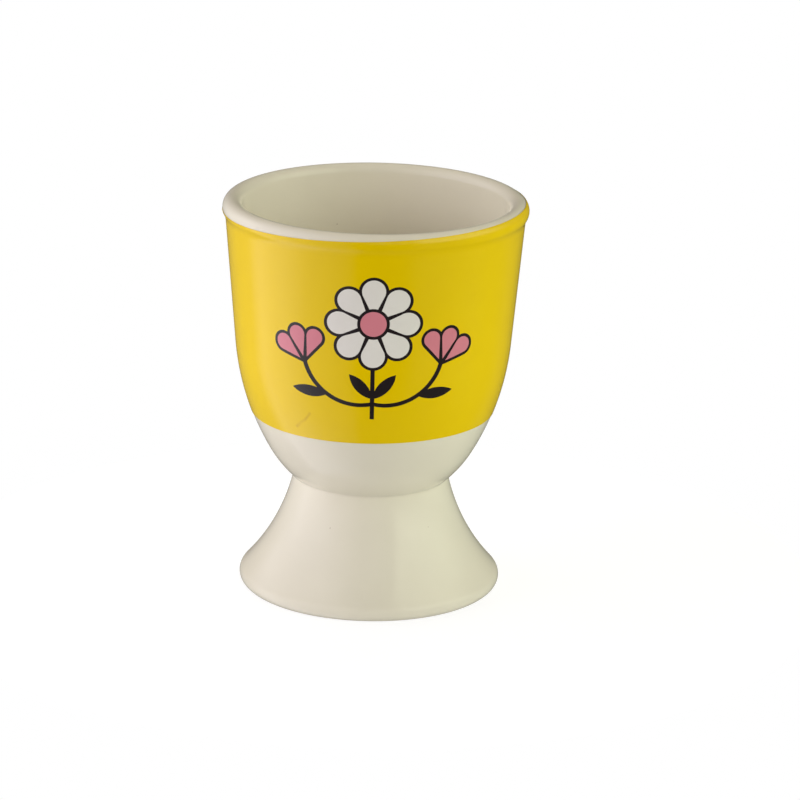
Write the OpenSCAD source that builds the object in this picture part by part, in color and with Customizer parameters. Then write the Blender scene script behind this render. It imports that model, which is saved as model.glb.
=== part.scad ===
// Porcelain egg cup on a flared foot, with a coloured band and a flower spray printed round the bowl.
// Millimetres. Z is up, and the origin is on the table under the middle of the foot.
// The bowl and the foot are turned outlines made of arcs that run into each other.

/* [Bowl] */
// Height from the table to the top of the lip
cup_h = 66; // [64:0.5:70]
// Diameter over the lip
lip_d = 50; // [48:0.5:53]
// How much thicker the rounded lip is than the wall
lip_proud = 0.45; // [0.3:0.05:0.8]
// Radius of the hollow blend under the lip
neck_round = 3.1; // [2:0.1:5]
// Thickness of the bowl's wall
wall_t = 2.75; // [2.2:0.05:2.9]
// Slope of the bowl's wall, in degrees from upright
wall_slope = 4.9; // [4:0.1:5.5]
// Radius of the long curve in the bowl's side
belly_r = 43.5; // [40:0.5:55]
// How far the wall's line passes outside the round of the bowl's bottom
belly_out = 2.25; // [1.6:0.05:3]
// Height of the bowl's underside above the table
bottom_h = 14; // [12:0.5:16]

/* [Foot] */
// Diameter over the foot's edge
foot_d = 43.4; // [41:0.2:47]
// Radius of the foot's rounded edge
foot_edge_r = 1.5; // [1:0.1:2]
// Slope of the skirt where it leaves the edge, in degrees from upright
skirt_slope = 42.7; // [40:0.1:46]
// Radius of the skirt's hollow sweep
skirt_r = 34.7; // [30:0.1:40]
// Thickness of the skirt's wall
skirt_t = 2.6; // [2:0.1:3.2]
// Width of the flat ring that the cup stands on
ring_w = 1.8; // [1.4:0.1:2.4]
// Radius of the ring's inner corner
ring_round = 0.5; // [0.3:0.05:0.8]

/* [Slip joint] */
// Thickness of the slip between the bowl and the foot
slip_t = 0.3; // [0.2:0.05:0.6]
// Width of the slip wiped into the corner inside the foot
slip_bead = 1.2; // [0.6:0.1:1.6]

/* [Printed band] */
// Thickness of the fired colour
film_t = 0.1; // [0.06:0.01:0.2]
// Distance from the top of the lip down to the band's upper edge
band_drop = 0.8; // [0.7:0.05:1]
// Height of the band
band_h = 34.9; // [32:0.1:37]
// How far the band sits out of level, in degrees
band_tilt = 1.3; // [0:0.1:1.5]

/* [Flower spray] */
// Distance from the band's upper edge down to the daisy's middle
daisy_drop = 13.9; // [13:0.1:14.6]
// Width of the black outlines
line_w = 0.5; // [0.35:0.05:0.6]
// Radius of the daisy over its petals
daisy_r = 7.4; // [7:0.1:8]
// Width of the black line between two petals
petal_gap = 0.4; // [0.3:0.05:0.6]
// Distance from the daisy's middle to a petal's root
petal_root = 1.1; // [0.8:0.1:1.4]
// Radius of the daisy's eye
eye_r = 2.1; // [1.6:0.1:2.5]
// Distance from the daisy's middle down to a tulip's foot
tulip_drop = 7.4; // [6:0.1:8]
// Distance from the straight stalk out to a tulip's foot
tulip_out = 10.8; // [10.4:0.1:12]
// Length of a tulip over its petals
tulip_len = 6.2; // [5.8:0.1:6.8]
// Distance from a tulip's foot to its petals' roots
tulip_root = 1; // [0.8:0.1:1.3]
// Distance from the daisy's middle down to the end of the straight stalk
stalk_drop = 16.4; // [15.6:0.1:17]
// Width of the stalks
stalk_w = 0.7; // [0.5:0.05:0.9]
// Radius of the curved stalks that carry the tulips
side_stalk_r = 9; // [8.6:0.1:9.6]
// Length of a leaf
leaf_len = 5.6; // [5:0.1:6.4]
// Width of a leaf
leaf_w = 1.9; // [1.4:0.1:2.4]
// Distance from the daisy's middle down to the leaves on the straight stalk
leaf_drop = 12.8; // [12:0.1:13.4]

/* [Hidden] */
$fn = 96;

PORCELAIN = [0.88, 0.86, 0.79];
SLIP = [0.85, 0.82, 0.75];
YELLOW = [0.91, 0.79, 0.03];
WHITE = [0.89, 0.88, 0.84];
PINK = [0.80, 0.47, 0.53];
BLACK = [0.09, 0.08, 0.08];

// Steps in a long arc and in a short one
long_steps = 16;
short_steps = 8;

// Petals on the daisy, and on a tulip with the angle between them
daisy_petals = 8;
tulip_petals = 3;
tulip_fan = 38;
// How the tulips lean outwards
tulip_lean = 16;
// How the leaves on the straight stalk lean, and how far those on the curved stalks turn away from them
leaf_lean = 42;
leaf_spread = 30;
// Where round the curved stalk's circle its leaf starts
leaf_a = 304;

function unit(a) = [cos(a), sin(a)];
function arc(c, r, from, to, steps) = [for (i = [0:steps]) c + r * unit(from + (to - from) * i / steps)];
function heading(v) = (atan2(v.y, v.x) + 360) % 360;
function degrees_along(length, r) = length / r * 180 / PI;

// Lower crossing of the circle round c1 with the circle round c2, where c2 lies to the left
function crossing(c1, r1, c2, r2) =
    let (
        d = norm(c2 - c1),
        e = (c2 - c1) / d,
        x = (d * d + r1 * r1 - r2 * r2) / (2 * d),
        h = sqrt(r1 * r1 - x * x)
    )
    c1 + x * e + h * [-e.y, e.x];

// The bowl's outline: bottom, belly, straight wall, neck and lip, each tangent to the next
lip_round = (wall_t + lip_proud) / 2;
lip_c = [lip_d / 2 - lip_round, cup_h - lip_round];
wall_out = unit(-wall_slope);
wall_up = unit(90 - wall_slope);
wall_p = lip_c + (wall_t - lip_round) * wall_out;
bottom_r = (wall_p * wall_out + bottom_h * sin(wall_slope) - belly_out) / (1 - sin(wall_slope));
bottom_c = [0, bottom_h + bottom_r];
belly_in = belly_r - bottom_r - belly_out;
belly_rise = sqrt((belly_in + belly_out) * (belly_in + belly_out) - belly_in * belly_in);
belly_c = bottom_c - belly_in * wall_out + belly_rise * wall_up;
belly_low_a = heading(bottom_c - belly_c) - 360;
neck_reach = neck_round + lip_round - lip_proud;
neck_drop = sqrt((neck_round + lip_round) * (neck_round + lip_round) - neck_reach * neck_reach);
neck_c = lip_c + neck_reach * wall_out - neck_drop * wall_up;
neck_top_a = heading(lip_c - neck_c);

// Outside radius of the bowl at a height on its belly or its straight wall
function side_at(z) =
    z < belly_c.y - belly_r * sin(wall_slope)
    ? belly_c.x + sqrt(belly_r * belly_r - (z - belly_c.y) * (z - belly_c.y))
    : wall_p.x + (z - wall_p.y) * tan(wall_slope);

// The foot's outline: rounded edge, hollow sweep, and the seat that the bowl's round bottom sits in
edge_c = [foot_d / 2 - foot_edge_r, foot_edge_r];
skirt_c = edge_c + (foot_edge_r + skirt_r) * unit(skirt_slope);
skirt_in_r = skirt_r + skirt_t;
seat_r = bottom_r + slip_t;
crease_p = crossing(skirt_c, skirt_r, bottom_c, bottom_r);
seat_out_p = crossing(skirt_c, skirt_r, bottom_c, seat_r);
seat_in_p = crossing(skirt_c, skirt_in_r, bottom_c, seat_r);
seat_in_a = heading(seat_in_p - skirt_c);
bead_a = seat_in_a + degrees_along(slip_bead, skirt_in_r);
ring_in = edge_c.x - ring_w - ring_round;
ring_top_a = 180 + acos((skirt_c.x - ring_in) / skirt_in_r);
slip_in_a = heading(crossing(skirt_c, skirt_in_r, bottom_c, bottom_r) - bottom_c)
    - 360 - degrees_along(slip_bead, bottom_r);
slip_out_a = heading(crease_p - bottom_c) - 360;
seat_out_a = heading(seat_out_p - bottom_c);
seat_side = arc(bottom_c, seat_r, seat_out_a, heading(seat_in_p - bottom_c), short_steps);

// The bowl's outside from inside the slip up to the top of the lip, drawn t outside the glaze
function outside(t) = concat(
    arc(bottom_c, bottom_r + t, slip_in_a, slip_out_a, short_steps),
    arc(bottom_c, bottom_r + t, slip_out_a, belly_low_a, short_steps),
    arc(belly_c, belly_r + t, belly_low_a, -wall_slope, long_steps),
    arc(neck_c, neck_round - t, 180 - wall_slope, neck_top_a, short_steps),
    arc(lip_c, lip_round + t, neck_top_a - 180, 90, long_steps)
);
side_in = outside(0);
side_out = outside(film_t);
side_last = len(side_in) - 1;

// The spray's heights, the turn from the front to a tulip's foot, and the circle of its curved stalk,
// which runs on into the tulip as far as its petals' roots
band_z = cup_h - band_drop - band_h;
daisy_z = band_z + band_h - daisy_drop;
tulip_z = daisy_z - tulip_drop;
stalk_z = daisy_z - stalk_drop;
leaf_z = daisy_z - leaf_drop;
tulip_turn = asin(tulip_out / side_at(tulip_z));
stalk_c = [tulip_out, tulip_z] - side_stalk_r * unit(-tulip_lean);
stalk_low_a = 360 - acos(-stalk_c.x / side_stalk_r);
stalk_high_a = 360 - tulip_lean + degrees_along(tulip_root, side_stalk_r);

// Radius of the round tips of petals that stand step degrees apart with a gap between them
function tip_round(reach, step, gap) = (reach * sin(step / 2) - gap / 2) / (1 + sin(step / 2));
petal_tip = tip_round(daisy_r, 360 / daisy_petals, petal_gap);
tulip_tip = tip_round(tulip_len, tulip_fan, petal_gap);

module bowl() {
    color(PORCELAIN)
        rotate_extrude()
            polygon(concat(
                arc(bottom_c, bottom_r, -90, slip_in_a, long_steps),
                side_in,
                arc(lip_c, lip_round, 90, 180 - wall_slope, short_steps),
                arc(belly_c, belly_r - wall_t, -wall_slope, belly_low_a, long_steps),
                arc(bottom_c, bottom_r - wall_t, belly_low_a, -90, long_steps)
            ));
}

module foot() {
    color(PORCELAIN)
        rotate_extrude()
            polygon(concat(
                arc(edge_c, foot_edge_r, -90, skirt_slope, short_steps),
                arc(skirt_c, skirt_r, 180 + skirt_slope, heading(seat_out_p - skirt_c), long_steps),
                seat_side,
                arc(skirt_c, skirt_in_r, seat_in_a, bead_a, short_steps),
                arc(skirt_c, skirt_in_r, bead_a, ring_top_a, long_steps),
                arc([ring_in + ring_round, ring_round], ring_round, 180, 270, short_steps)
            ));
}

// The slip fills the seat, ends flush with the skirt outside and is wiped into the corner inside
module joint_slip() {
    color(SLIP)
        rotate_extrude()
            polygon(concat(
                arc(bottom_c, bottom_r, slip_in_a, slip_out_a, short_steps),
                seat_side,
                arc(skirt_c, skirt_in_r, seat_in_a, bead_a, short_steps)
            ));
}

// Outline of one petal that points up from the middle of its flower, widened by grow all round
function petal(reach, tip, root, grow) =
    let (half = asin(tip / (reach - tip - root)))
    concat(
        [[0, root - grow / sin(half)]],
        arc([0, reach - tip], tip + grow, -half, 180 + half, long_steps)
    );

// Outline of a leaf that starts at the middle and points up: two arcs that meet in points
function leaf(length, width) =
    let (
        r = (length * length + width * width) / (4 * width),
        open = asin(length / 2 / r),
        mid = [0, length / 2],
        side = r - width / 2
    )
    concat(
        arc(mid - [side, 0], r, -open, open, short_steps),
        arc(mid + [side, 0], r, 180 - open, 180 + open, short_steps)
    );

// Stands a flat drawing on the bowl at a turn from the front and a height, and sends it through the wall
module facing(turn, z) {
    rotate([0, 0, turn])
        translate([0, 0, z])
            rotate([90, 0, 0])
                linear_extrude(height = lip_d)
                    children();
}

// Thin coat of colour on the bowl's outside, cut off along the band's two edges
module film() {
    intersection() {
        rotate_extrude()
            polygon(concat(side_in, [for (i = [0:side_last]) side_out[side_last - i]]));
        translate([0, 0, band_z])
            rotate([0, -band_tilt, 0])
                translate([-lip_d, -lip_d, 0])
                    cube([lip_d + lip_d, lip_d + lip_d, band_h]);
    }
}

module both_sides() {
    for (side = [0, 1])
        mirror([side, 0, 0])
            children();
}

module daisy(grow) {
    facing(0, daisy_z)
        for (i = [0:daisy_petals - 1])
            rotate(i * 360 / daisy_petals)
                polygon(petal(daisy_r, petal_tip, petal_root, grow));
}

module eye(grow) {
    facing(0, daisy_z)
        circle(r = eye_r + grow);
}

module tulips(grow) {
    both_sides()
        facing(tulip_turn, tulip_z)
            for (i = [0:tulip_petals - 1])
                rotate((i - (tulip_petals - 1) / 2) * tulip_fan - tulip_lean)
                    polygon(petal(tulip_len, tulip_tip, tulip_root, grow));
}

module stalks() {
    facing(0, stalk_z)
        translate([-stalk_w / 2, 0])
            square([stalk_w, stalk_drop]);
    both_sides()
        facing(0, 0)
            polygon(concat(
                arc(stalk_c, side_stalk_r + stalk_w / 2, stalk_low_a, stalk_high_a, long_steps),
                arc(stalk_c, side_stalk_r - stalk_w / 2, stalk_high_a, stalk_low_a, long_steps)
            ));
}

module leaves() {
    both_sides()
        facing(0, 0) {
            translate([0, leaf_z])
                rotate(-leaf_lean)
                    polygon(leaf(leaf_len, leaf_w));
            translate(stalk_c + side_stalk_r * unit(leaf_a))
                rotate(leaf_a - 360 - leaf_spread)
                    polygon(leaf(leaf_len, leaf_w));
        }
}

module spray() {
    daisy(line_w);
    tulips(line_w);
    stalks();
    leaves();
}

module yellow_band() {
    color(YELLOW)
        difference() {
            film();
            spray();
        }
}

module white_petals() {
    color(WHITE)
        difference() {
            intersection() {
                film();
                daisy(0);
            }
            eye(line_w);
        }
}

module pink_print() {
    color(PINK)
        intersection() {
            film();
            union() {
                eye(0);
                tulips(0);
            }
        }
}

module black_linework() {
    color(BLACK)
        difference() {
            intersection() {
                film();
                spray();
            }
            difference() {
                daisy(0);
                eye(line_w);
            }
            eye(0);
            tulips(0);
        }
}

bowl();
foot();
joint_slip();
yellow_band();
white_petals();
pink_print();
black_linework();
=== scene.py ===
from itertools import count
from math import acos, asin, atan2, cos, degrees, pi, radians, sin, sqrt

import bpy
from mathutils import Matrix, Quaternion, Vector


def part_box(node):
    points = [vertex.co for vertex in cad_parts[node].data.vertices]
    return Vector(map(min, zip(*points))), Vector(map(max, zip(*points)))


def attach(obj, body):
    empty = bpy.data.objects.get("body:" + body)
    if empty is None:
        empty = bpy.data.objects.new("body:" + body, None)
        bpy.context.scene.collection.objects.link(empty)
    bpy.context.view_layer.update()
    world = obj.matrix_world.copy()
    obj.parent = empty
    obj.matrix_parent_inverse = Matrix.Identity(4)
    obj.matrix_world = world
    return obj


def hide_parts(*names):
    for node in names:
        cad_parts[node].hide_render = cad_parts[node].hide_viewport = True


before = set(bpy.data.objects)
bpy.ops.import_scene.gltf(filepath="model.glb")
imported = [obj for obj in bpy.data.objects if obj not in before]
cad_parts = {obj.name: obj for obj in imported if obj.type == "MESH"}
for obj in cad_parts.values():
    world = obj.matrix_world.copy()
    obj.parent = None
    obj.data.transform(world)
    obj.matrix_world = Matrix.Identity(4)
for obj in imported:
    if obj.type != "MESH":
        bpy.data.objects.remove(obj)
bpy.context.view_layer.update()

mm = 0.001

# The camera looks slightly down on the printed side through a long lens, as in the photograph.
# Its small shift and roll put the cup where the photograph has it in the frame.
image_px = 800
lens_px = 3903.9
aim_px = (372.25, 390.70)
aim = Vector((0, 0, 33 * mm))
camera_far = 646.3 * mm
camera_high = radians(17.27)
camera_roll = radians(1.09)

back = Vector((0, -cos(camera_high), sin(camera_high)))
bpy.ops.object.camera_add(location=aim + camera_far * back)
camera = bpy.context.object
camera.rotation_mode = "QUATERNION"
camera.rotation_quaternion = (-back).to_track_quat("-Z", "Y") @ Quaternion((0, 0, 1), camera_roll)
camera.data.lens = camera.data.sensor_width * lens_px / image_px
camera.data.shift_x = 0.5 - aim_px[0] / image_px
camera.data.shift_y = aim_px[1] / image_px - 0.5
bpy.context.scene.camera = camera
bpy.context.scene.view_settings.view_transform = "Standard"

# The bowl is white porcelain, pressed on a turning mould and glazed all over. Its wall is a round
# bottom, a long belly and a straight side, and it ends in a rolled lip with a hollow blend under it.
lip_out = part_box("bowl")[1].x
lip_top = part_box("bowl")[1].z
bowl_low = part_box("bowl")[0].z
wall = 2.75 * mm
lip_proud = 0.45 * mm
neck_r = 3.1 * mm
wall_slope = 4.9
belly_r = 43.5 * mm
belly_out = 2.25 * mm
wheel_steps = 256
same_place = 0.001 * mm


def towards(angle):
    """A step of length one in the plane that the outline is drawn in, at an angle above outwards."""
    return Vector((cos(radians(angle)), 0, sin(radians(angle))))


def heading(v):
    """The angle above outwards that a step in the drawing plane points at."""
    return degrees(atan2(v.z, v.x))


wall_out = towards(-wall_slope)
wall_up = towards(90 - wall_slope)
lip_r = (wall + lip_proud) / 2
lip_c = Vector((lip_out - lip_r, 0, lip_top - lip_r))
wall_p = lip_c + (wall - lip_r) * wall_out
bottom_r = (wall_p.dot(wall_out) + bowl_low * sin(radians(wall_slope)) - belly_out) / (
    1 - sin(radians(wall_slope)))
bottom_c = Vector((0, 0, bowl_low + bottom_r))
belly_in = belly_r - bottom_r - belly_out
belly_rise = sqrt((belly_in + belly_out) ** 2 - belly_in**2)
belly_c = bottom_c - belly_in * wall_out + belly_rise * wall_up
belly_low = heading(bottom_c - belly_c)
neck_reach = neck_r + lip_r - lip_proud
neck_drop = sqrt((neck_r + lip_r) ** 2 - neck_reach**2)
neck_c = lip_c + neck_reach * wall_out - neck_drop * wall_up
neck_top = heading(lip_c - neck_c)


def side_arcs(proud):
    """The bowl's outside from the belly up to the top of the lip, drawn a little proud of the glaze."""
    return [
        (belly_c, belly_r + proud, belly_low, -wall_slope, 48),
        (neck_c, neck_r - proud, 180 - wall_slope, neck_top, 10),
        (lip_c, lip_r + proud, neck_top - 180, 90, 20),
    ]


def draw_outline(name, strokes):
    """Draws a line from a point. A stroke is a corner, or an arc: centre, radius, start, end, steps."""
    bpy.ops.object.select_all(action="DESELECT")
    bpy.ops.mesh.primitive_plane_add(size=mm)
    piece = bpy.context.object
    piece.name = piece.data.name = name
    bpy.ops.object.mode_set(mode="EDIT")
    bpy.ops.mesh.merge(type="CENTER")
    pen = None
    for stroke in strokes:
        corner = isinstance(stroke, Vector)
        begin = stroke if corner else stroke[0] + stroke[1] * towards(stroke[2])
        if pen is None:
            bpy.ops.transform.translate(value=begin)
        elif (begin - pen).length > same_place:
            bpy.ops.mesh.extrude_region_move(TRANSFORM_OT_translate={"value": begin - pen})
        pen = begin
        if not corner:
            centre, radius, start, end, steps = stroke
            bpy.ops.mesh.spin(steps=steps, angle=radians(end - start), center=centre, axis=(0, 1, 0))
            pen = centre + radius * towards(end)
    return piece


def finish_with(piece, kind, **values):
    """Adds a modifier to a piece, sets it and applies it."""
    tool = piece.modifiers.new(kind.lower(), kind)
    for key, value in values.items():
        setattr(tool, key, value)
    bpy.context.view_layer.objects.active = piece
    bpy.ops.object.modifier_apply(modifier=tool.name)


def turn_round(piece):
    """Turns the drawn line once round the cup's axis, closes it and smooths it."""
    bpy.ops.mesh.select_all(action="SELECT")
    bpy.ops.mesh.remove_doubles(threshold=same_place)
    bpy.ops.object.mode_set(mode="OBJECT")
    finish_with(piece, "SCREW", angle=2 * pi, steps=wheel_steps, render_steps=wheel_steps,
                use_merge_vertices=True, merge_threshold=same_place)
    bpy.ops.object.mode_set(mode="EDIT")
    bpy.ops.mesh.select_all(action="SELECT")
    bpy.ops.mesh.remove_doubles(threshold=same_place)
    bpy.ops.mesh.normals_make_consistent(inside=False)
    bpy.ops.object.mode_set(mode="OBJECT")
    bpy.ops.object.shade_smooth_by_angle(angle=radians(30))
    return piece


bowl = turn_round(draw_outline("bowl_ware", [
    (bottom_c, bottom_r, -90, belly_low, 40),
    *side_arcs(0),
    (lip_c, lip_r, 90, 180 - wall_slope, 12),
    (belly_c, belly_r - wall, -wall_slope, belly_low, 40),
    (bottom_c, bottom_r - wall, belly_low, -90, 32),
]))


def node(tree, kind, links=(), **values):
    """Adds a node, sets its values and sockets by name, and joins (output, input) pairs."""
    made = tree.nodes.new(kind)
    for key, value in values.items():
        if hasattr(made, key):
            setattr(made, key, value)
        else:
            made.inputs[key.replace("_", " ")].default_value = value
    for output, socket in links:
        tree.links.new(output, made.inputs[socket])
    return made


def blend(tree, factor, a, b):
    """Mixes two colours, each a colour or another node's output, and gives the mixed output."""
    made = node(tree, "ShaderNodeMix", data_type="RGBA")
    sockets = {socket.identifier: socket for socket in made.inputs}
    tree.links.new(factor, sockets["Factor_Float"])
    for key, colour in (("A_Color", a), ("B_Color", b)):
        if isinstance(colour, tuple):
            sockets[key].default_value = colour
        else:
            tree.links.new(colour, sockets[key])
    return next(socket for socket in made.outputs if socket.identifier == "Result_Color")


def new_finish(name):
    """A material with its shader and the object's own coordinates in metres."""
    finish = bpy.data.materials.new(name)
    finish.use_nodes = True
    tree = finish.node_tree
    place = tree.nodes.new("ShaderNodeTexCoord").outputs["Object"]
    return finish, tree, tree.nodes["Principled BSDF"], place


def linear(r, g, b):
    """A colour written as it looks on the screen, 0 to 255, as the shader wants it."""
    share = [c / 255 for c in (r, g, b)]
    return (*[c / 12.92 if c < 0.04045 else ((c + 0.055) / 1.055) ** 2.4 for c in share], 1)


glaze_white, glaze_shade = linear(228, 222, 201), linear(221, 215, 193)
glaze_smooth, glaze_rough = 0.09, 0.16
cloud_scale, wave_scale, pore_scale, speck_scale = 110, 160, 1900, 620
speck_brown = linear(150, 132, 108)
speck_share = 0.05
speck_rarity = 0.985
ripple_deep = 0.02 * mm
pore_deep = 0.004 * mm
bare_rough = 0.6
bare_jag = 0.2 * mm
bare_top = 0.35 * mm
bare_fade = 0.04 * mm


def glaze_finish(name, light, dark, bare=None):
    """Clear glaze over porcelain: a cloudy warm white, rare iron specks and a slightly wavy surface.

    Given the bare clay's colour, it leaves the lowest part of the piece unglazed, up to a jagged edge.
    """
    finish, tree, shader, place = new_finish(name)
    clouds = node(tree, "ShaderNodeTexNoise", [(place, "Vector")], Scale=cloud_scale, Detail=3)
    body = blend(tree, clouds.outputs["Fac"], light, dark)
    cells = node(tree, "ShaderNodeTexVoronoi", [(place, "Vector")], Scale=speck_scale)
    small = node(tree, "ShaderNodeMath", [(cells.outputs["Distance"], 0)], operation="LESS_THAN")
    small.inputs[1].default_value = speck_share
    pick = node(tree, "ShaderNodeSeparateColor", [(cells.outputs["Color"], "Color")])
    rare = node(tree, "ShaderNodeMath", [(pick.outputs["Red"], 0)], operation="GREATER_THAN")
    rare.inputs[1].default_value = speck_rarity
    speck = node(tree, "ShaderNodeMath", operation="MULTIPLY",
                 links=[(small.outputs[0], 0), (rare.outputs[0], 1)])
    colour = blend(tree, speck.outputs[0], body, speck_brown)
    wave = node(tree, "ShaderNodeTexNoise", [(place, "Vector")], Scale=wave_scale, Detail=2)
    ripple = node(tree, "ShaderNodeBump", [(wave.outputs["Fac"], "Height")],
                  Strength=0.5, Distance=ripple_deep)
    pores = node(tree, "ShaderNodeTexNoise", [(place, "Vector")], Scale=pore_scale, Detail=2)
    pitted = node(tree, "ShaderNodeBump", Strength=0.3, Distance=pore_deep,
                  links=[(pores.outputs["Fac"], "Height"), (ripple.outputs["Normal"], "Normal")])
    rough = node(tree, "ShaderNodeMapRange", [(wave.outputs["Fac"], "Value")],
                 To_Min=glaze_smooth, To_Max=glaze_rough).outputs["Result"]
    if bare:
        height = node(tree, "ShaderNodeSeparateXYZ", [(place, "Vector")])
        jagged = node(tree, "ShaderNodeMath", operation="MULTIPLY_ADD",
                      links=[(clouds.outputs["Fac"], 0), (height.outputs["Z"], 2)])
        jagged.inputs[1].default_value = bare_jag
        wiped = node(tree, "ShaderNodeMapRange", [(jagged.outputs[0], "Value")],
                     From_Min=bare_top, From_Max=bare_top - bare_fade).outputs["Result"]
        colour = blend(tree, wiped, colour, bare)
        rough = node(tree, "ShaderNodeMapRange", [(wiped, "Value"), (rough, "To Min")],
                     To_Max=bare_rough).outputs["Result"]
    tree.links.new(colour, shader.inputs["Base Color"])
    tree.links.new(rough, shader.inputs["Roughness"])
    tree.links.new(pitted.outputs["Normal"], shader.inputs["Normal"])
    return finish


bowl.data.materials.append(glaze_finish("bowl_glaze", glaze_white, glaze_shade))
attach(bowl, "root")
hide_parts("bowl")

# The foot is a hollow flared skirt of the same clay, turned on its own and glazed. It stands on a
# narrow ring that was wiped bare before firing.
foot_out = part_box("foot")[1].x
edge_r = 1.5 * mm
skirt_slope = 42.7
skirt_r = 34.7 * mm
skirt_wall = 2.6 * mm
ring_flat = 1.8 * mm
ring_r = 0.5 * mm
slip = 0.3 * mm
bead = 1.2 * mm


def crossing(c1, r1, c2, r2):
    """Lower crossing of the circle round c1 with the circle round c2, where c2 lies to the left."""
    apart = (c2 - c1).length
    e = (c2 - c1) / apart
    x = (apart**2 + r1**2 - r2**2) / (2 * apart)
    return c1 + x * e + sqrt(r1**2 - x**2) * Vector((-e.z, 0, e.x))


edge_c = Vector((foot_out - edge_r, 0, edge_r))
skirt_c = edge_c + (edge_r + skirt_r) * towards(skirt_slope)
skirt_in_r = skirt_r + skirt_wall
seat_r = bottom_r + slip
seat_out = crossing(skirt_c, skirt_r, bottom_c, seat_r)
seat_in = crossing(skirt_c, skirt_in_r, bottom_c, seat_r)
ring_in = edge_c.x - ring_flat - ring_r
ring_top = 180 + degrees(acos((skirt_c.x - ring_in) / skirt_in_r))
seat_arc = (bottom_c, seat_r, heading(seat_out - bottom_c), heading(seat_in - bottom_c), 8)

foot = turn_round(draw_outline("foot_ware", [
    (edge_c, edge_r, -90, skirt_slope, 20),
    (skirt_c, skirt_r, 180 + skirt_slope, heading(seat_out - skirt_c) % 360, 40),
    seat_arc,
    (skirt_c, skirt_in_r, heading(seat_in - skirt_c) % 360, ring_top, 40),
    (Vector((ring_in + ring_r, 0, ring_r)), ring_r, 180, 270, 8),
    Vector((edge_c.x, 0, 0)),
]))
bare_clay = linear(222, 214, 196)
foot.data.materials.append(glaze_finish("foot_glaze", glaze_white, glaze_shade, bare=bare_clay))
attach(foot, "root")
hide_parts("foot")

# Slip, which is liquid clay, sticks the bowl into the foot. It shows as a fine ring in the crease
# outside, rounded by the glaze that ran into it, and as a wiped bead under the bowl.
crease_r = 0.35 * mm
crease_c = crossing(skirt_c, skirt_r - crease_r, bottom_c, bottom_r + crease_r)
seat_in_low = crossing(skirt_c, skirt_in_r, bottom_c, bottom_r)
slip_in = heading(seat_in_low - bottom_c) - degrees(bead / bottom_r)
bead_end = heading(seat_in - skirt_c) % 360 + degrees(bead / skirt_in_r)

slip_ring = turn_round(draw_outline("slip_seam", [
    (bottom_c, bottom_r, slip_in, heading(crease_c - bottom_c), 16),
    (crease_c, crease_r, heading(bottom_c - crease_c) % 360, heading(crease_c - skirt_c) % 360, 10),
    (skirt_c, skirt_r, heading(crease_c - skirt_c) % 360, heading(seat_out - skirt_c) % 360, 4),
    seat_arc,
    (skirt_c, skirt_in_r, heading(seat_in - skirt_c) % 360, bead_end, 8),
    bottom_c + bottom_r * towards(slip_in),
]))
slip_white, slip_shade = linear(226, 220, 199), linear(219, 213, 191)
slip_ring.data.materials.append(glaze_finish("slip_glaze", slip_white, slip_shade))
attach(slip_ring, "root")
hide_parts("joint_slip")

# The print is a transfer: thin sheets of ceramic colour slid onto the glaze and fired until glossy.
# The sheet is drawn as the bowl's side, cut off along the band's two edges, and given its thickness.
# It was laid on a little crooked, so its upper edge drops towards the left and the back.
film = 0.1 * mm
band_drop = 0.8 * mm
band_h = 34.9 * mm
low_edge_lean = radians(0.5)
top_edge_lean = radians(1.95)
top_edge_fall = radians(0.9)
band_low = Vector((0, 0, lip_top - band_drop - band_h))
band_top = Vector((0, -lip_out, lip_top - band_drop))
low_edge_up = Vector((-sin(low_edge_lean), 0, cos(low_edge_lean)))
top_edge_up = Vector((-sin(top_edge_lean), sin(top_edge_fall), cos(top_edge_lean)))

sheet = turn_round(draw_outline("band_sheet", side_arcs(film)))
bpy.ops.object.mode_set(mode="EDIT")
bpy.ops.mesh.select_all(action="SELECT")
bpy.ops.mesh.bisect(plane_co=band_low, plane_no=low_edge_up, threshold=same_place, clear_inner=True)
bpy.ops.mesh.select_all(action="SELECT")
bpy.ops.mesh.bisect(plane_co=band_top, plane_no=top_edge_up, threshold=same_place, clear_outer=True)
bpy.ops.object.mode_set(mode="OBJECT")


def copy_of(piece, name):
    """A copy of a piece with a mesh of its own."""
    bpy.ops.object.select_all(action="DESELECT")
    piece.select_set(True)
    bpy.context.view_layer.objects.active = piece
    bpy.ops.object.duplicate()
    made = bpy.context.object
    made.name = made.data.name = name
    return made


skin = copy_of(sheet, "band_skin")
finish_with(sheet, "SOLIDIFY", thickness=film, offset=-1, use_even_offset=True)

# The flower spray on the front: a daisy between two tulips, on one straight and two curved stalks
# with four leaves. Each colour is cut from the sheet by flat shapes sent through the bowl's side.
line_w = 0.5 * mm
daisy_r = 7.4 * mm
petals = 8
petal_gap = 0.4 * mm
petal_root = 1.1 * mm
daisy_eye_r = 2.1 * mm
tulip_len = 6.2 * mm
tulip_fan = 38
tulip_lean = 16
tulip_root = 1 * mm
tulip_out = 10.8 * mm
stalk_w = 0.7 * mm
side_stalk_r = 9 * mm
leaf_len = 5.6 * mm
leaf_w = 1.9 * mm
leaf_lean = 42
leaf_spread = 30
side_leaf = 304
daisy_at = band_low + Vector((0, 0, band_h - 13.9 * mm))
tulip_z = daisy_at.z - 7.4 * mm
stalk_z = daisy_at.z - 16.4 * mm
leaf_z = daisy_at.z - 12.8 * mm
tulip_in = (tulip_z - wall_p.z) * sin(radians(wall_slope)) / cos(radians(wall_slope))
tulip_turn = asin(tulip_out / (wall_p.x + tulip_in))
side_c = Vector((tulip_out, 0, tulip_z)) - side_stalk_r * towards(-tulip_lean)
side_low = 360 - degrees(acos(-side_c.x / side_stalk_r))
side_high = 360 - tulip_lean + degrees(tulip_root / side_stalk_r)


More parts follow.
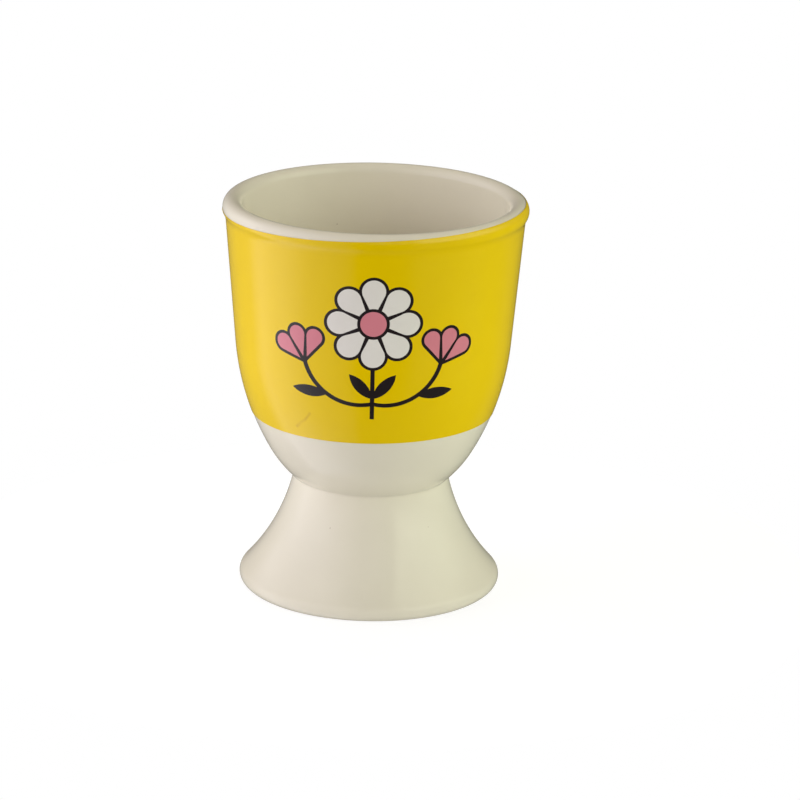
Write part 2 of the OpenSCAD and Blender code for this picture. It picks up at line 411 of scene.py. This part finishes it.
# Each shape starts a hair in front of the one before, so that no two end faces share a plane
hair = 0.05 * mm
flat_within = 0.5
shapes_drawn = count(1)


def shape(name, strokes, turn=0, side=1):
    """Fills a drawn outline, sends it forwards through the bowl's side and turns it to its place."""
    made = draw_outline(name, strokes)
    bpy.ops.mesh.select_all(action="SELECT")
    bpy.ops.mesh.remove_doubles(threshold=same_place)
    bpy.ops.mesh.edge_face_add()
    bpy.ops.transform.translate(value=(0, -hair * next(shapes_drawn), 0))
    bpy.ops.mesh.extrude_region_move(TRANSFORM_OT_translate={"value": (0, -2 * lip_out, 0)})
    bpy.ops.object.mode_set(mode="OBJECT")
    made.rotation_euler.z = turn
    bpy.ops.object.transform_apply(rotation=True)
    made.scale.x = side
    bpy.ops.object.transform_apply(scale=True)
    bpy.ops.object.mode_set(mode="EDIT")
    bpy.ops.mesh.select_all(action="SELECT")
    bpy.ops.mesh.normals_make_consistent(inside=False)
    bpy.ops.object.mode_set(mode="OBJECT")
    return made


def cut(piece, how, *shapes):
    """Adds shapes to a piece, takes them away from it or keeps what they share, and puts them away."""
    for other in shapes:
        finish_with(piece, "BOOLEAN", operation=how, object=other, solver="MANIFOLD")
        bpy.data.objects.remove(other)
    return piece


def join(shapes):
    """Joins shapes into one, clearing the lines that each step leaves on its flat faces."""
    for other in shapes[1:]:
        cut(shapes[0], "UNION", other)
        bpy.ops.object.mode_set(mode="EDIT")
        bpy.ops.mesh.select_all(action="SELECT")
        bpy.ops.mesh.dissolve_limited(angle_limit=radians(flat_within))
        bpy.ops.object.mode_set(mode="OBJECT")
    return shapes[0]


def petal(at, reach, root, step, angle, grow, **placed):
    """A petal that points away from a place: a round tip and two straight sides, all widened by grow."""
    share = sin(radians(step / 2))
    tip = (reach * share - petal_gap / 2) / (1 + share)
    half = asin(tip / (reach - tip - root))
    return shape("petal_shape", [
        at + (root - grow / sin(half)) * towards(angle),
        (at + (reach - tip) * towards(angle), tip + grow,
         angle - 90 - degrees(half), angle + 90 + degrees(half), 32),
    ], **placed)


def daisy(grow):
    """The petals of the daisy, each with its step of the full turn."""
    step = 360 / petals
    return [petal(daisy_at, daisy_r, petal_root, step, 90 + i * step, grow) for i in range(petals)]


def tulips(grow):
    """Three petals drawn upright on the axis and turned round the cup to the right, and their mirrors."""
    foot_at = Vector((0, 0, tulip_z))
    return [
        petal(foot_at, tulip_len, tulip_root, tulip_fan, 90 - tulip_lean + i * tulip_fan, grow,
              turn=tulip_turn, side=side) for side in (1, -1) for i in (-1, 0, 1)
    ]


def eye(grow):
    """The round eye of the daisy."""
    return [shape("eye_shape", [(daisy_at, daisy_eye_r + grow, 0, 360, 64)])]


def stalks():
    """The daisy's straight stalk and the two curved ones of the tulips."""
    straight = shape("stalk_shape", [
        Vector((-stalk_w / 2, 0, stalk_z)), Vector((stalk_w / 2, 0, stalk_z)),
        Vector((stalk_w / 2, 0, daisy_at.z)), Vector((-stalk_w / 2, 0, daisy_at.z)),
    ])
    curved = [shape("side_stalk_shape", [
        (side_c, side_stalk_r + stalk_w / 2, side_low, side_high, 32),
        (side_c, side_stalk_r - stalk_w / 2, side_high, side_low, 32),
    ], side=side) for side in (1, -1)]
    return [straight, *curved]


def leaf_pair(at, angle):
    """A leaf that points away from a place, and its mirror: two arcs that meet in points."""
    r = (leaf_len**2 + leaf_w**2) / (4 * leaf_w)
    half = degrees(asin(leaf_len / 2 / r))
    middle = at + leaf_len / 2 * towards(angle)
    across = (r - leaf_w / 2) * towards(angle - 90)
    return [shape("leaf_shape", [
        (middle - across, r, angle - 90 - half, angle - 90 + half, 16),
        (middle + across, r, angle + 90 - half, angle + 90 + half, 16),
    ], side=side) for side in (1, -1)]


whole_spray = join([
    *daisy(line_w), *tulips(line_w), *stalks(),
    *leaf_pair(Vector((0, 0, leaf_z)), 90 - leaf_lean),
    *leaf_pair(side_c + side_stalk_r * towards(side_leaf), side_leaf - 270 - leaf_spread),
])
white_shapes = cut(join(daisy(0)), "DIFFERENCE", *eye(line_w))
pink_shapes = join([*eye(0), *tulips(0)])


print_cloud_scale, print_wave_scale, wrinkle_bend_scale = 240, 200, 300
print_roughening = 0.06
# The darker yellow painted along the wrinkle as its shade
wrinkle_painted_shade = linear(213, 174, 0)
wrinkle_half_w = 0.45 * mm
wrinkle_deep = 0.05 * mm
wrinkle_bend = Vector((1, 1, 1)) * mm


def ridge_between(tree, place, start, end):
    """How near a place lies to a crooked line from start to end: 1 on it, falling to 0 beside it."""
    bend = node(tree, "ShaderNodeTexNoise", [(place, "Vector")], Scale=wrinkle_bend_scale, Detail=1)
    bent = node(tree, "ShaderNodeVectorMath", operation="MULTIPLY_ADD",
                links=[(bend.outputs["Color"], 0), (place, 2)])
    bent.inputs[1].default_value = wrinkle_bend
    along = node(tree, "ShaderNodeVectorMath", [(bent.outputs["Vector"], 0)], operation="SUBTRACT")
    along.inputs[1].default_value = start + wrinkle_bend / 2
    share = node(tree, "ShaderNodeVectorMath", [(along.outputs["Vector"], 0)], operation="DOT_PRODUCT")
    share.inputs[1].default_value = (end - start) / (end - start).length_squared
    share = node(tree, "ShaderNodeClamp", [(share.outputs["Value"], "Value")])
    nearest = node(tree, "ShaderNodeVectorMath", [(share.outputs["Result"], "Scale")], operation="SCALE")
    nearest.inputs[0].default_value = end - start
    aside = node(tree, "ShaderNodeVectorMath", operation="DISTANCE",
                 links=[(along.outputs["Vector"], 0), (nearest.outputs["Vector"], 1)])
    ridge = node(tree, "ShaderNodeMapRange", [(aside.outputs["Value"], "Value")],
                 interpolation_type="SMOOTHSTEP", From_Min=0, From_Max=wrinkle_half_w, To_Min=1, To_Max=0)
    return ridge.outputs["Result"]


def print_finish(name, light, dark, gloss, wrinkle=()):
    """Fired colour: a glossy film, faintly cloudy and uneven. A wrinkle is given by its two ends: a low
    bump, with painted shade darkening the colour along it.
    """
    finish, tree, shader, place = new_finish(name)
    clouds = node(tree, "ShaderNodeTexNoise", [(place, "Vector")], Scale=print_cloud_scale, Detail=4)
    colour = blend(tree, clouds.outputs["Fac"], light, dark)
    wave = node(tree, "ShaderNodeTexNoise", [(place, "Vector")], Scale=print_wave_scale, Detail=2)
    ripple = node(tree, "ShaderNodeBump", [(wave.outputs["Fac"], "Height")],
                  Strength=0.5, Distance=ripple_deep)
    if wrinkle:
        ridge = ridge_between(tree, place, *wrinkle)
        # Painted shade: the colour turns darker yellow along the wrinkle
        colour = blend(tree, ridge, colour, wrinkle_painted_shade)
        ripple = node(tree, "ShaderNodeBump", Strength=0.12, Distance=wrinkle_deep,
                      links=[(ridge, "Height"), (ripple.outputs["Normal"], "Normal")])
    shine = node(tree, "ShaderNodeMapRange", [(wave.outputs["Fac"], "Value")],
                 To_Min=gloss, To_Max=gloss + print_roughening)
    tree.links.new(colour, shader.inputs["Base Color"])
    tree.links.new(shine.outputs["Result"], shader.inputs["Roughness"])
    tree.links.new(ripple.outputs["Normal"], shader.inputs["Normal"])
    return finish


def print_sheet(name, cad_node, slot, finish, how, *shapes):
    """Cuts one colour out of a copy of the sheet."""
    piece = copy_of(sheet, name)
    for others in shapes:
        cut(piece, how, copy_of(others, "cutting_shapes"))
        how = "DIFFERENCE"
    piece.data.materials.clear()
    piece.data.materials.append(finish)
    finish_with(piece, "DATA_TRANSFER", object=skin, use_loop_data=True,
                data_types_loops={"CUSTOM_NORMAL"}, loop_mapping="POLYINTERP_NEAREST")
    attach(piece, "root")
    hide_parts(cad_node)


# The yellow has one small wrinkle low on the left, where the wet sheet didn't lie flat. Its relief is a
# bump, and the darker yellow along it is painted shade
wrinkle_low = Vector((-12.0, -16.9, 32.0)) * mm
wrinkle_high = Vector((-10.1, -19.0, 34.9)) * mm
yellow = print_finish("yellow_enamel", linear(232, 198, 0), linear(228, 193, 0), 0.10,
                      wrinkle=(wrinkle_low, wrinkle_high))
white = print_finish("white_enamel", linear(228, 224, 215), linear(223, 218, 208), 0.12)
pink = print_finish("pink_enamel", linear(213, 131, 141), linear(208, 125, 135), 0.12)
black = print_finish("black_enamel", linear(40, 34, 35), linear(34, 28, 29), 0.14)
print_sheet("band_print", "yellow_band", "yellow_print", yellow, "DIFFERENCE", whole_spray)
print_sheet("petal_print", "white_petals", "white_print", white, "INTERSECT", white_shapes)
print_sheet("pink_flower_print", "pink_print", "pink_print", pink, "INTERSECT", pink_shapes)
print_sheet("line_print", "black_linework", "black_print", black,
            "INTERSECT", whole_spray, white_shapes, pink_shapes)
for used in (sheet, skin, whole_spray, white_shapes, pink_shapes):
    bpy.data.objects.remove(used)

# The stage: a small pale table under the cup, white all round for the camera, and soft lamps. Gloss
# shows soft panels in the lamps' place: a pinkish white one on the left that reaches far down, and
# a creamy one set high on the right, with dark between them and behind the cup.
table_r = 75 * mm
table_grey = (0.5, 0.5, 0.5, 1)
table_bounce = (0.92, 0.93, 1, 1)
bounce_light = 0.42
shadow_grey = (0.35, 0.35, 0.35, 1)
table_glow = 0.75
bpy.ops.object.select_all(action="DESELECT")
bpy.ops.mesh.primitive_circle_add(vertices=128, radius=table_r, fill_type="NGON")
table = bpy.context.object
table.name = "table_top"
cloth = bpy.data.materials.new("table_white")
cloth.use_nodes = True
tree = cloth.node_tree
tree.nodes.clear()
rays = node(tree, "ShaderNodeLightPath")
seen = node(tree, "ShaderNodeMath", operation="MAXIMUM",
            links=[(rays.outputs["Is Camera Ray"], 0), (rays.outputs["Is Transmission Ray"], 1)])
grey = node(tree, "ShaderNodeBsdfDiffuse", Color=table_grey)
bounce = node(tree, "ShaderNodeEmission", Color=table_bounce, Strength=bounce_light)
lit = node(tree, "ShaderNodeAddShader", [(grey.outputs[0], 0), (bounce.outputs[0], 1)])
shadow = node(tree, "ShaderNodeBsdfDiffuse", Color=shadow_grey)
glow = node(tree, "ShaderNodeEmission", Strength=table_glow)
pale = node(tree, "ShaderNodeAddShader", [(shadow.outputs[0], 0), (glow.outputs[0], 1)])
look = node(tree, "ShaderNodeMixShader",
            [(seen.outputs[0], 0), (lit.outputs[0], 1), (pale.outputs[0], 2)])
facing = node(tree, "ShaderNodeNewGeometry")
through = node(tree, "ShaderNodeMath", operation="MAXIMUM",
               links=[(facing.outputs["Backfacing"], 0), (rays.outputs["Is Glossy Ray"], 1)])
clear = node(tree, "ShaderNodeBsdfTransparent")
top = node(tree, "ShaderNodeMixShader",
           [(through.outputs[0], 0), (look.outputs[0], 1), (clear.outputs[0], 2)])
node(tree, "ShaderNodeOutputMaterial", [(top.outputs[0], "Surface")])
table.data.materials.append(cloth)

world = bpy.data.worlds.new("studio")
bpy.context.scene.world = world
world.use_nodes = True
tree = world.node_tree
tree.nodes.clear()
rays = node(tree, "ShaderNodeLightPath")
direction = node(tree, "ShaderNodeSeparateXYZ",
                 [(node(tree, "ShaderNodeTexCoord").outputs["Generated"], "Vector")])
forwards = node(tree, "ShaderNodeMath", [(direction.outputs["Y"], 0)], operation="MULTIPLY")
forwards.inputs[1].default_value = -1
azimuth = node(tree, "ShaderNodeMath", operation="ARCTAN2",
               links=[(direction.outputs["X"], 0), (forwards.outputs[0], 1)])
around = node(tree, "ShaderNodeMapRange", [(azimuth.outputs[0], "Value")], From_Min=-pi, From_Max=pi)


def panels(stops):
    """What gloss shows all round. A stop is an angle from the front to the right, brightness and tint."""
    made = node(tree, "ShaderNodeValToRGB", [(around.outputs["Result"], "Fac")])
    ramp = made.color_ramp
    for i, (angle, bright, tint) in enumerate(stops):
        stop = ramp.elements[i] if i < 2 else ramp.elements.new(1)
        stop.position = angle / 360 + 0.5
        stop.color = (*[bright * c for c in tint], 1)
    return made.outputs["Color"]


pinkish, plainish, creamy = (1, 0.97, 1.03), (1, 1, 0.96), (1, 1.04, 0.78)
low = panels([
    (-180, 0.05, plainish), (-131, 0.3, plainish), (-118, 0.4, pinkish), (-105, 1.35, pinkish),
    (-78, 1.3, pinkish), (-56, 0.75, pinkish), (-32, 0.42, pinkish), (-20, 0.25, pinkish),
    (-13, 0, plainish), (30, 0, creamy), (98, 0.05, creamy), (117, 0.05, creamy),
    (133, 0.1, plainish), (180, 0.05, plainish),
])
high = panels([
    (-180, 0.05, plainish), (-140, 0.2, plainish), (-120, 1.3, pinkish), (-60, 1.3, pinkish),
    (-10, 0.1, plainish), (32, 0.1, creamy), (35, 1.5, creamy), (95, 1.5, creamy),
    (120, 0.2, plainish), (180, 0.05, plainish),
])
ceiling_grey = (0.1, 0.1, 0.1, 1.0)
air_grey = (0.03, 0.03, 0.03, 1.0)
pure_white = (1.0, 1.0, 1.0, 1.0)
rise = node(tree, "ShaderNodeMapRange", [(direction.outputs["Z"], "Value")], From_Min=0.1, From_Max=0.3)
overhead = node(tree, "ShaderNodeMapRange", [(direction.outputs["Z"], "Value")],
                From_Min=0.8, From_Max=0.95)
gleam = blend(tree, rise.outputs["Result"], low, high)
gleam = blend(tree, overhead.outputs["Result"], gleam, ceiling_grey)
fill = blend(tree, rays.outputs["Is Glossy Ray"], air_grey, gleam)
seen = node(tree, "ShaderNodeMath", operation="MAXIMUM",
            links=[(rays.outputs["Is Camera Ray"], 0), (rays.outputs["Is Transmission Ray"], 1)])
colour = blend(tree, seen.outputs[0], fill, pure_white)
air = node(tree, "ShaderNodeBackground", [(colour, "Color")])
node(tree, "ShaderNodeOutputWorld", [(air.outputs[0], "Surface")])

lamp_far = 500 * mm


def soft_lamp(name, azimuth, elevation, width, height, colour, power):
    """A large flat soft lamp that faces the cup. Gloss shows the panels and not the lamp itself."""
    a, e = radians(azimuth), radians(elevation)
    way = Vector((sin(a) * cos(e), -cos(a) * cos(e), sin(e)))
    bpy.ops.object.light_add(type="AREA", location=aim + lamp_far * way)
    lamp = bpy.context.object
    lamp.name = name
    lamp.rotation_mode = "QUATERNION"
    lamp.rotation_quaternion = (-way).to_track_quat("-Z", "Y")
    lamp.data.shape = "RECTANGLE"
    lamp.data.size, lamp.data.size_y = width, height
    lamp.data.color = colour
    lamp.data.energy = power
    lamp.visible_camera = False
    lamp.visible_glossy = False


soft_lamp("left_lamp", -95, 0, 0.70, 0.8, (0.935, 0.925, 1.0), 4.35)
soft_lamp("front_left_lamp", -42, 0, 0.33, 0.8, (0.87, 0.81, 1.0), 0.45)
soft_lamp("high_left_lamp", -60, 22, 0.25, 0.2, (1.0, 0.92, 1.0), 0.33)
soft_lamp("front_high_lamp", 10, 28, 0.3, 0.25, (1.0, 0.93, 0.96), 0.55)
soft_lamp("high_right_lamp", 60, 22, 0.25, 0.2, (0.97, 1.0, 0.85), 0.4)
soft_lamp("right_lamp", 60, 0, 0.6, 0.8, (0.92, 1.0, 0.87), 1.88)
soft_lamp("far_right_lamp", 110, 0, 0.5, 0.8, (0.96, 1.0, 0.96), 1.3)
soft_lamp("back_lamp", 180, -5, 0.7, 0.8, (1, 1, 1), 1.0)
soft_lamp("top_lamp", 180, 60, 0.5, 0.5, (1.0, 0.89, 0.74), 0.95)
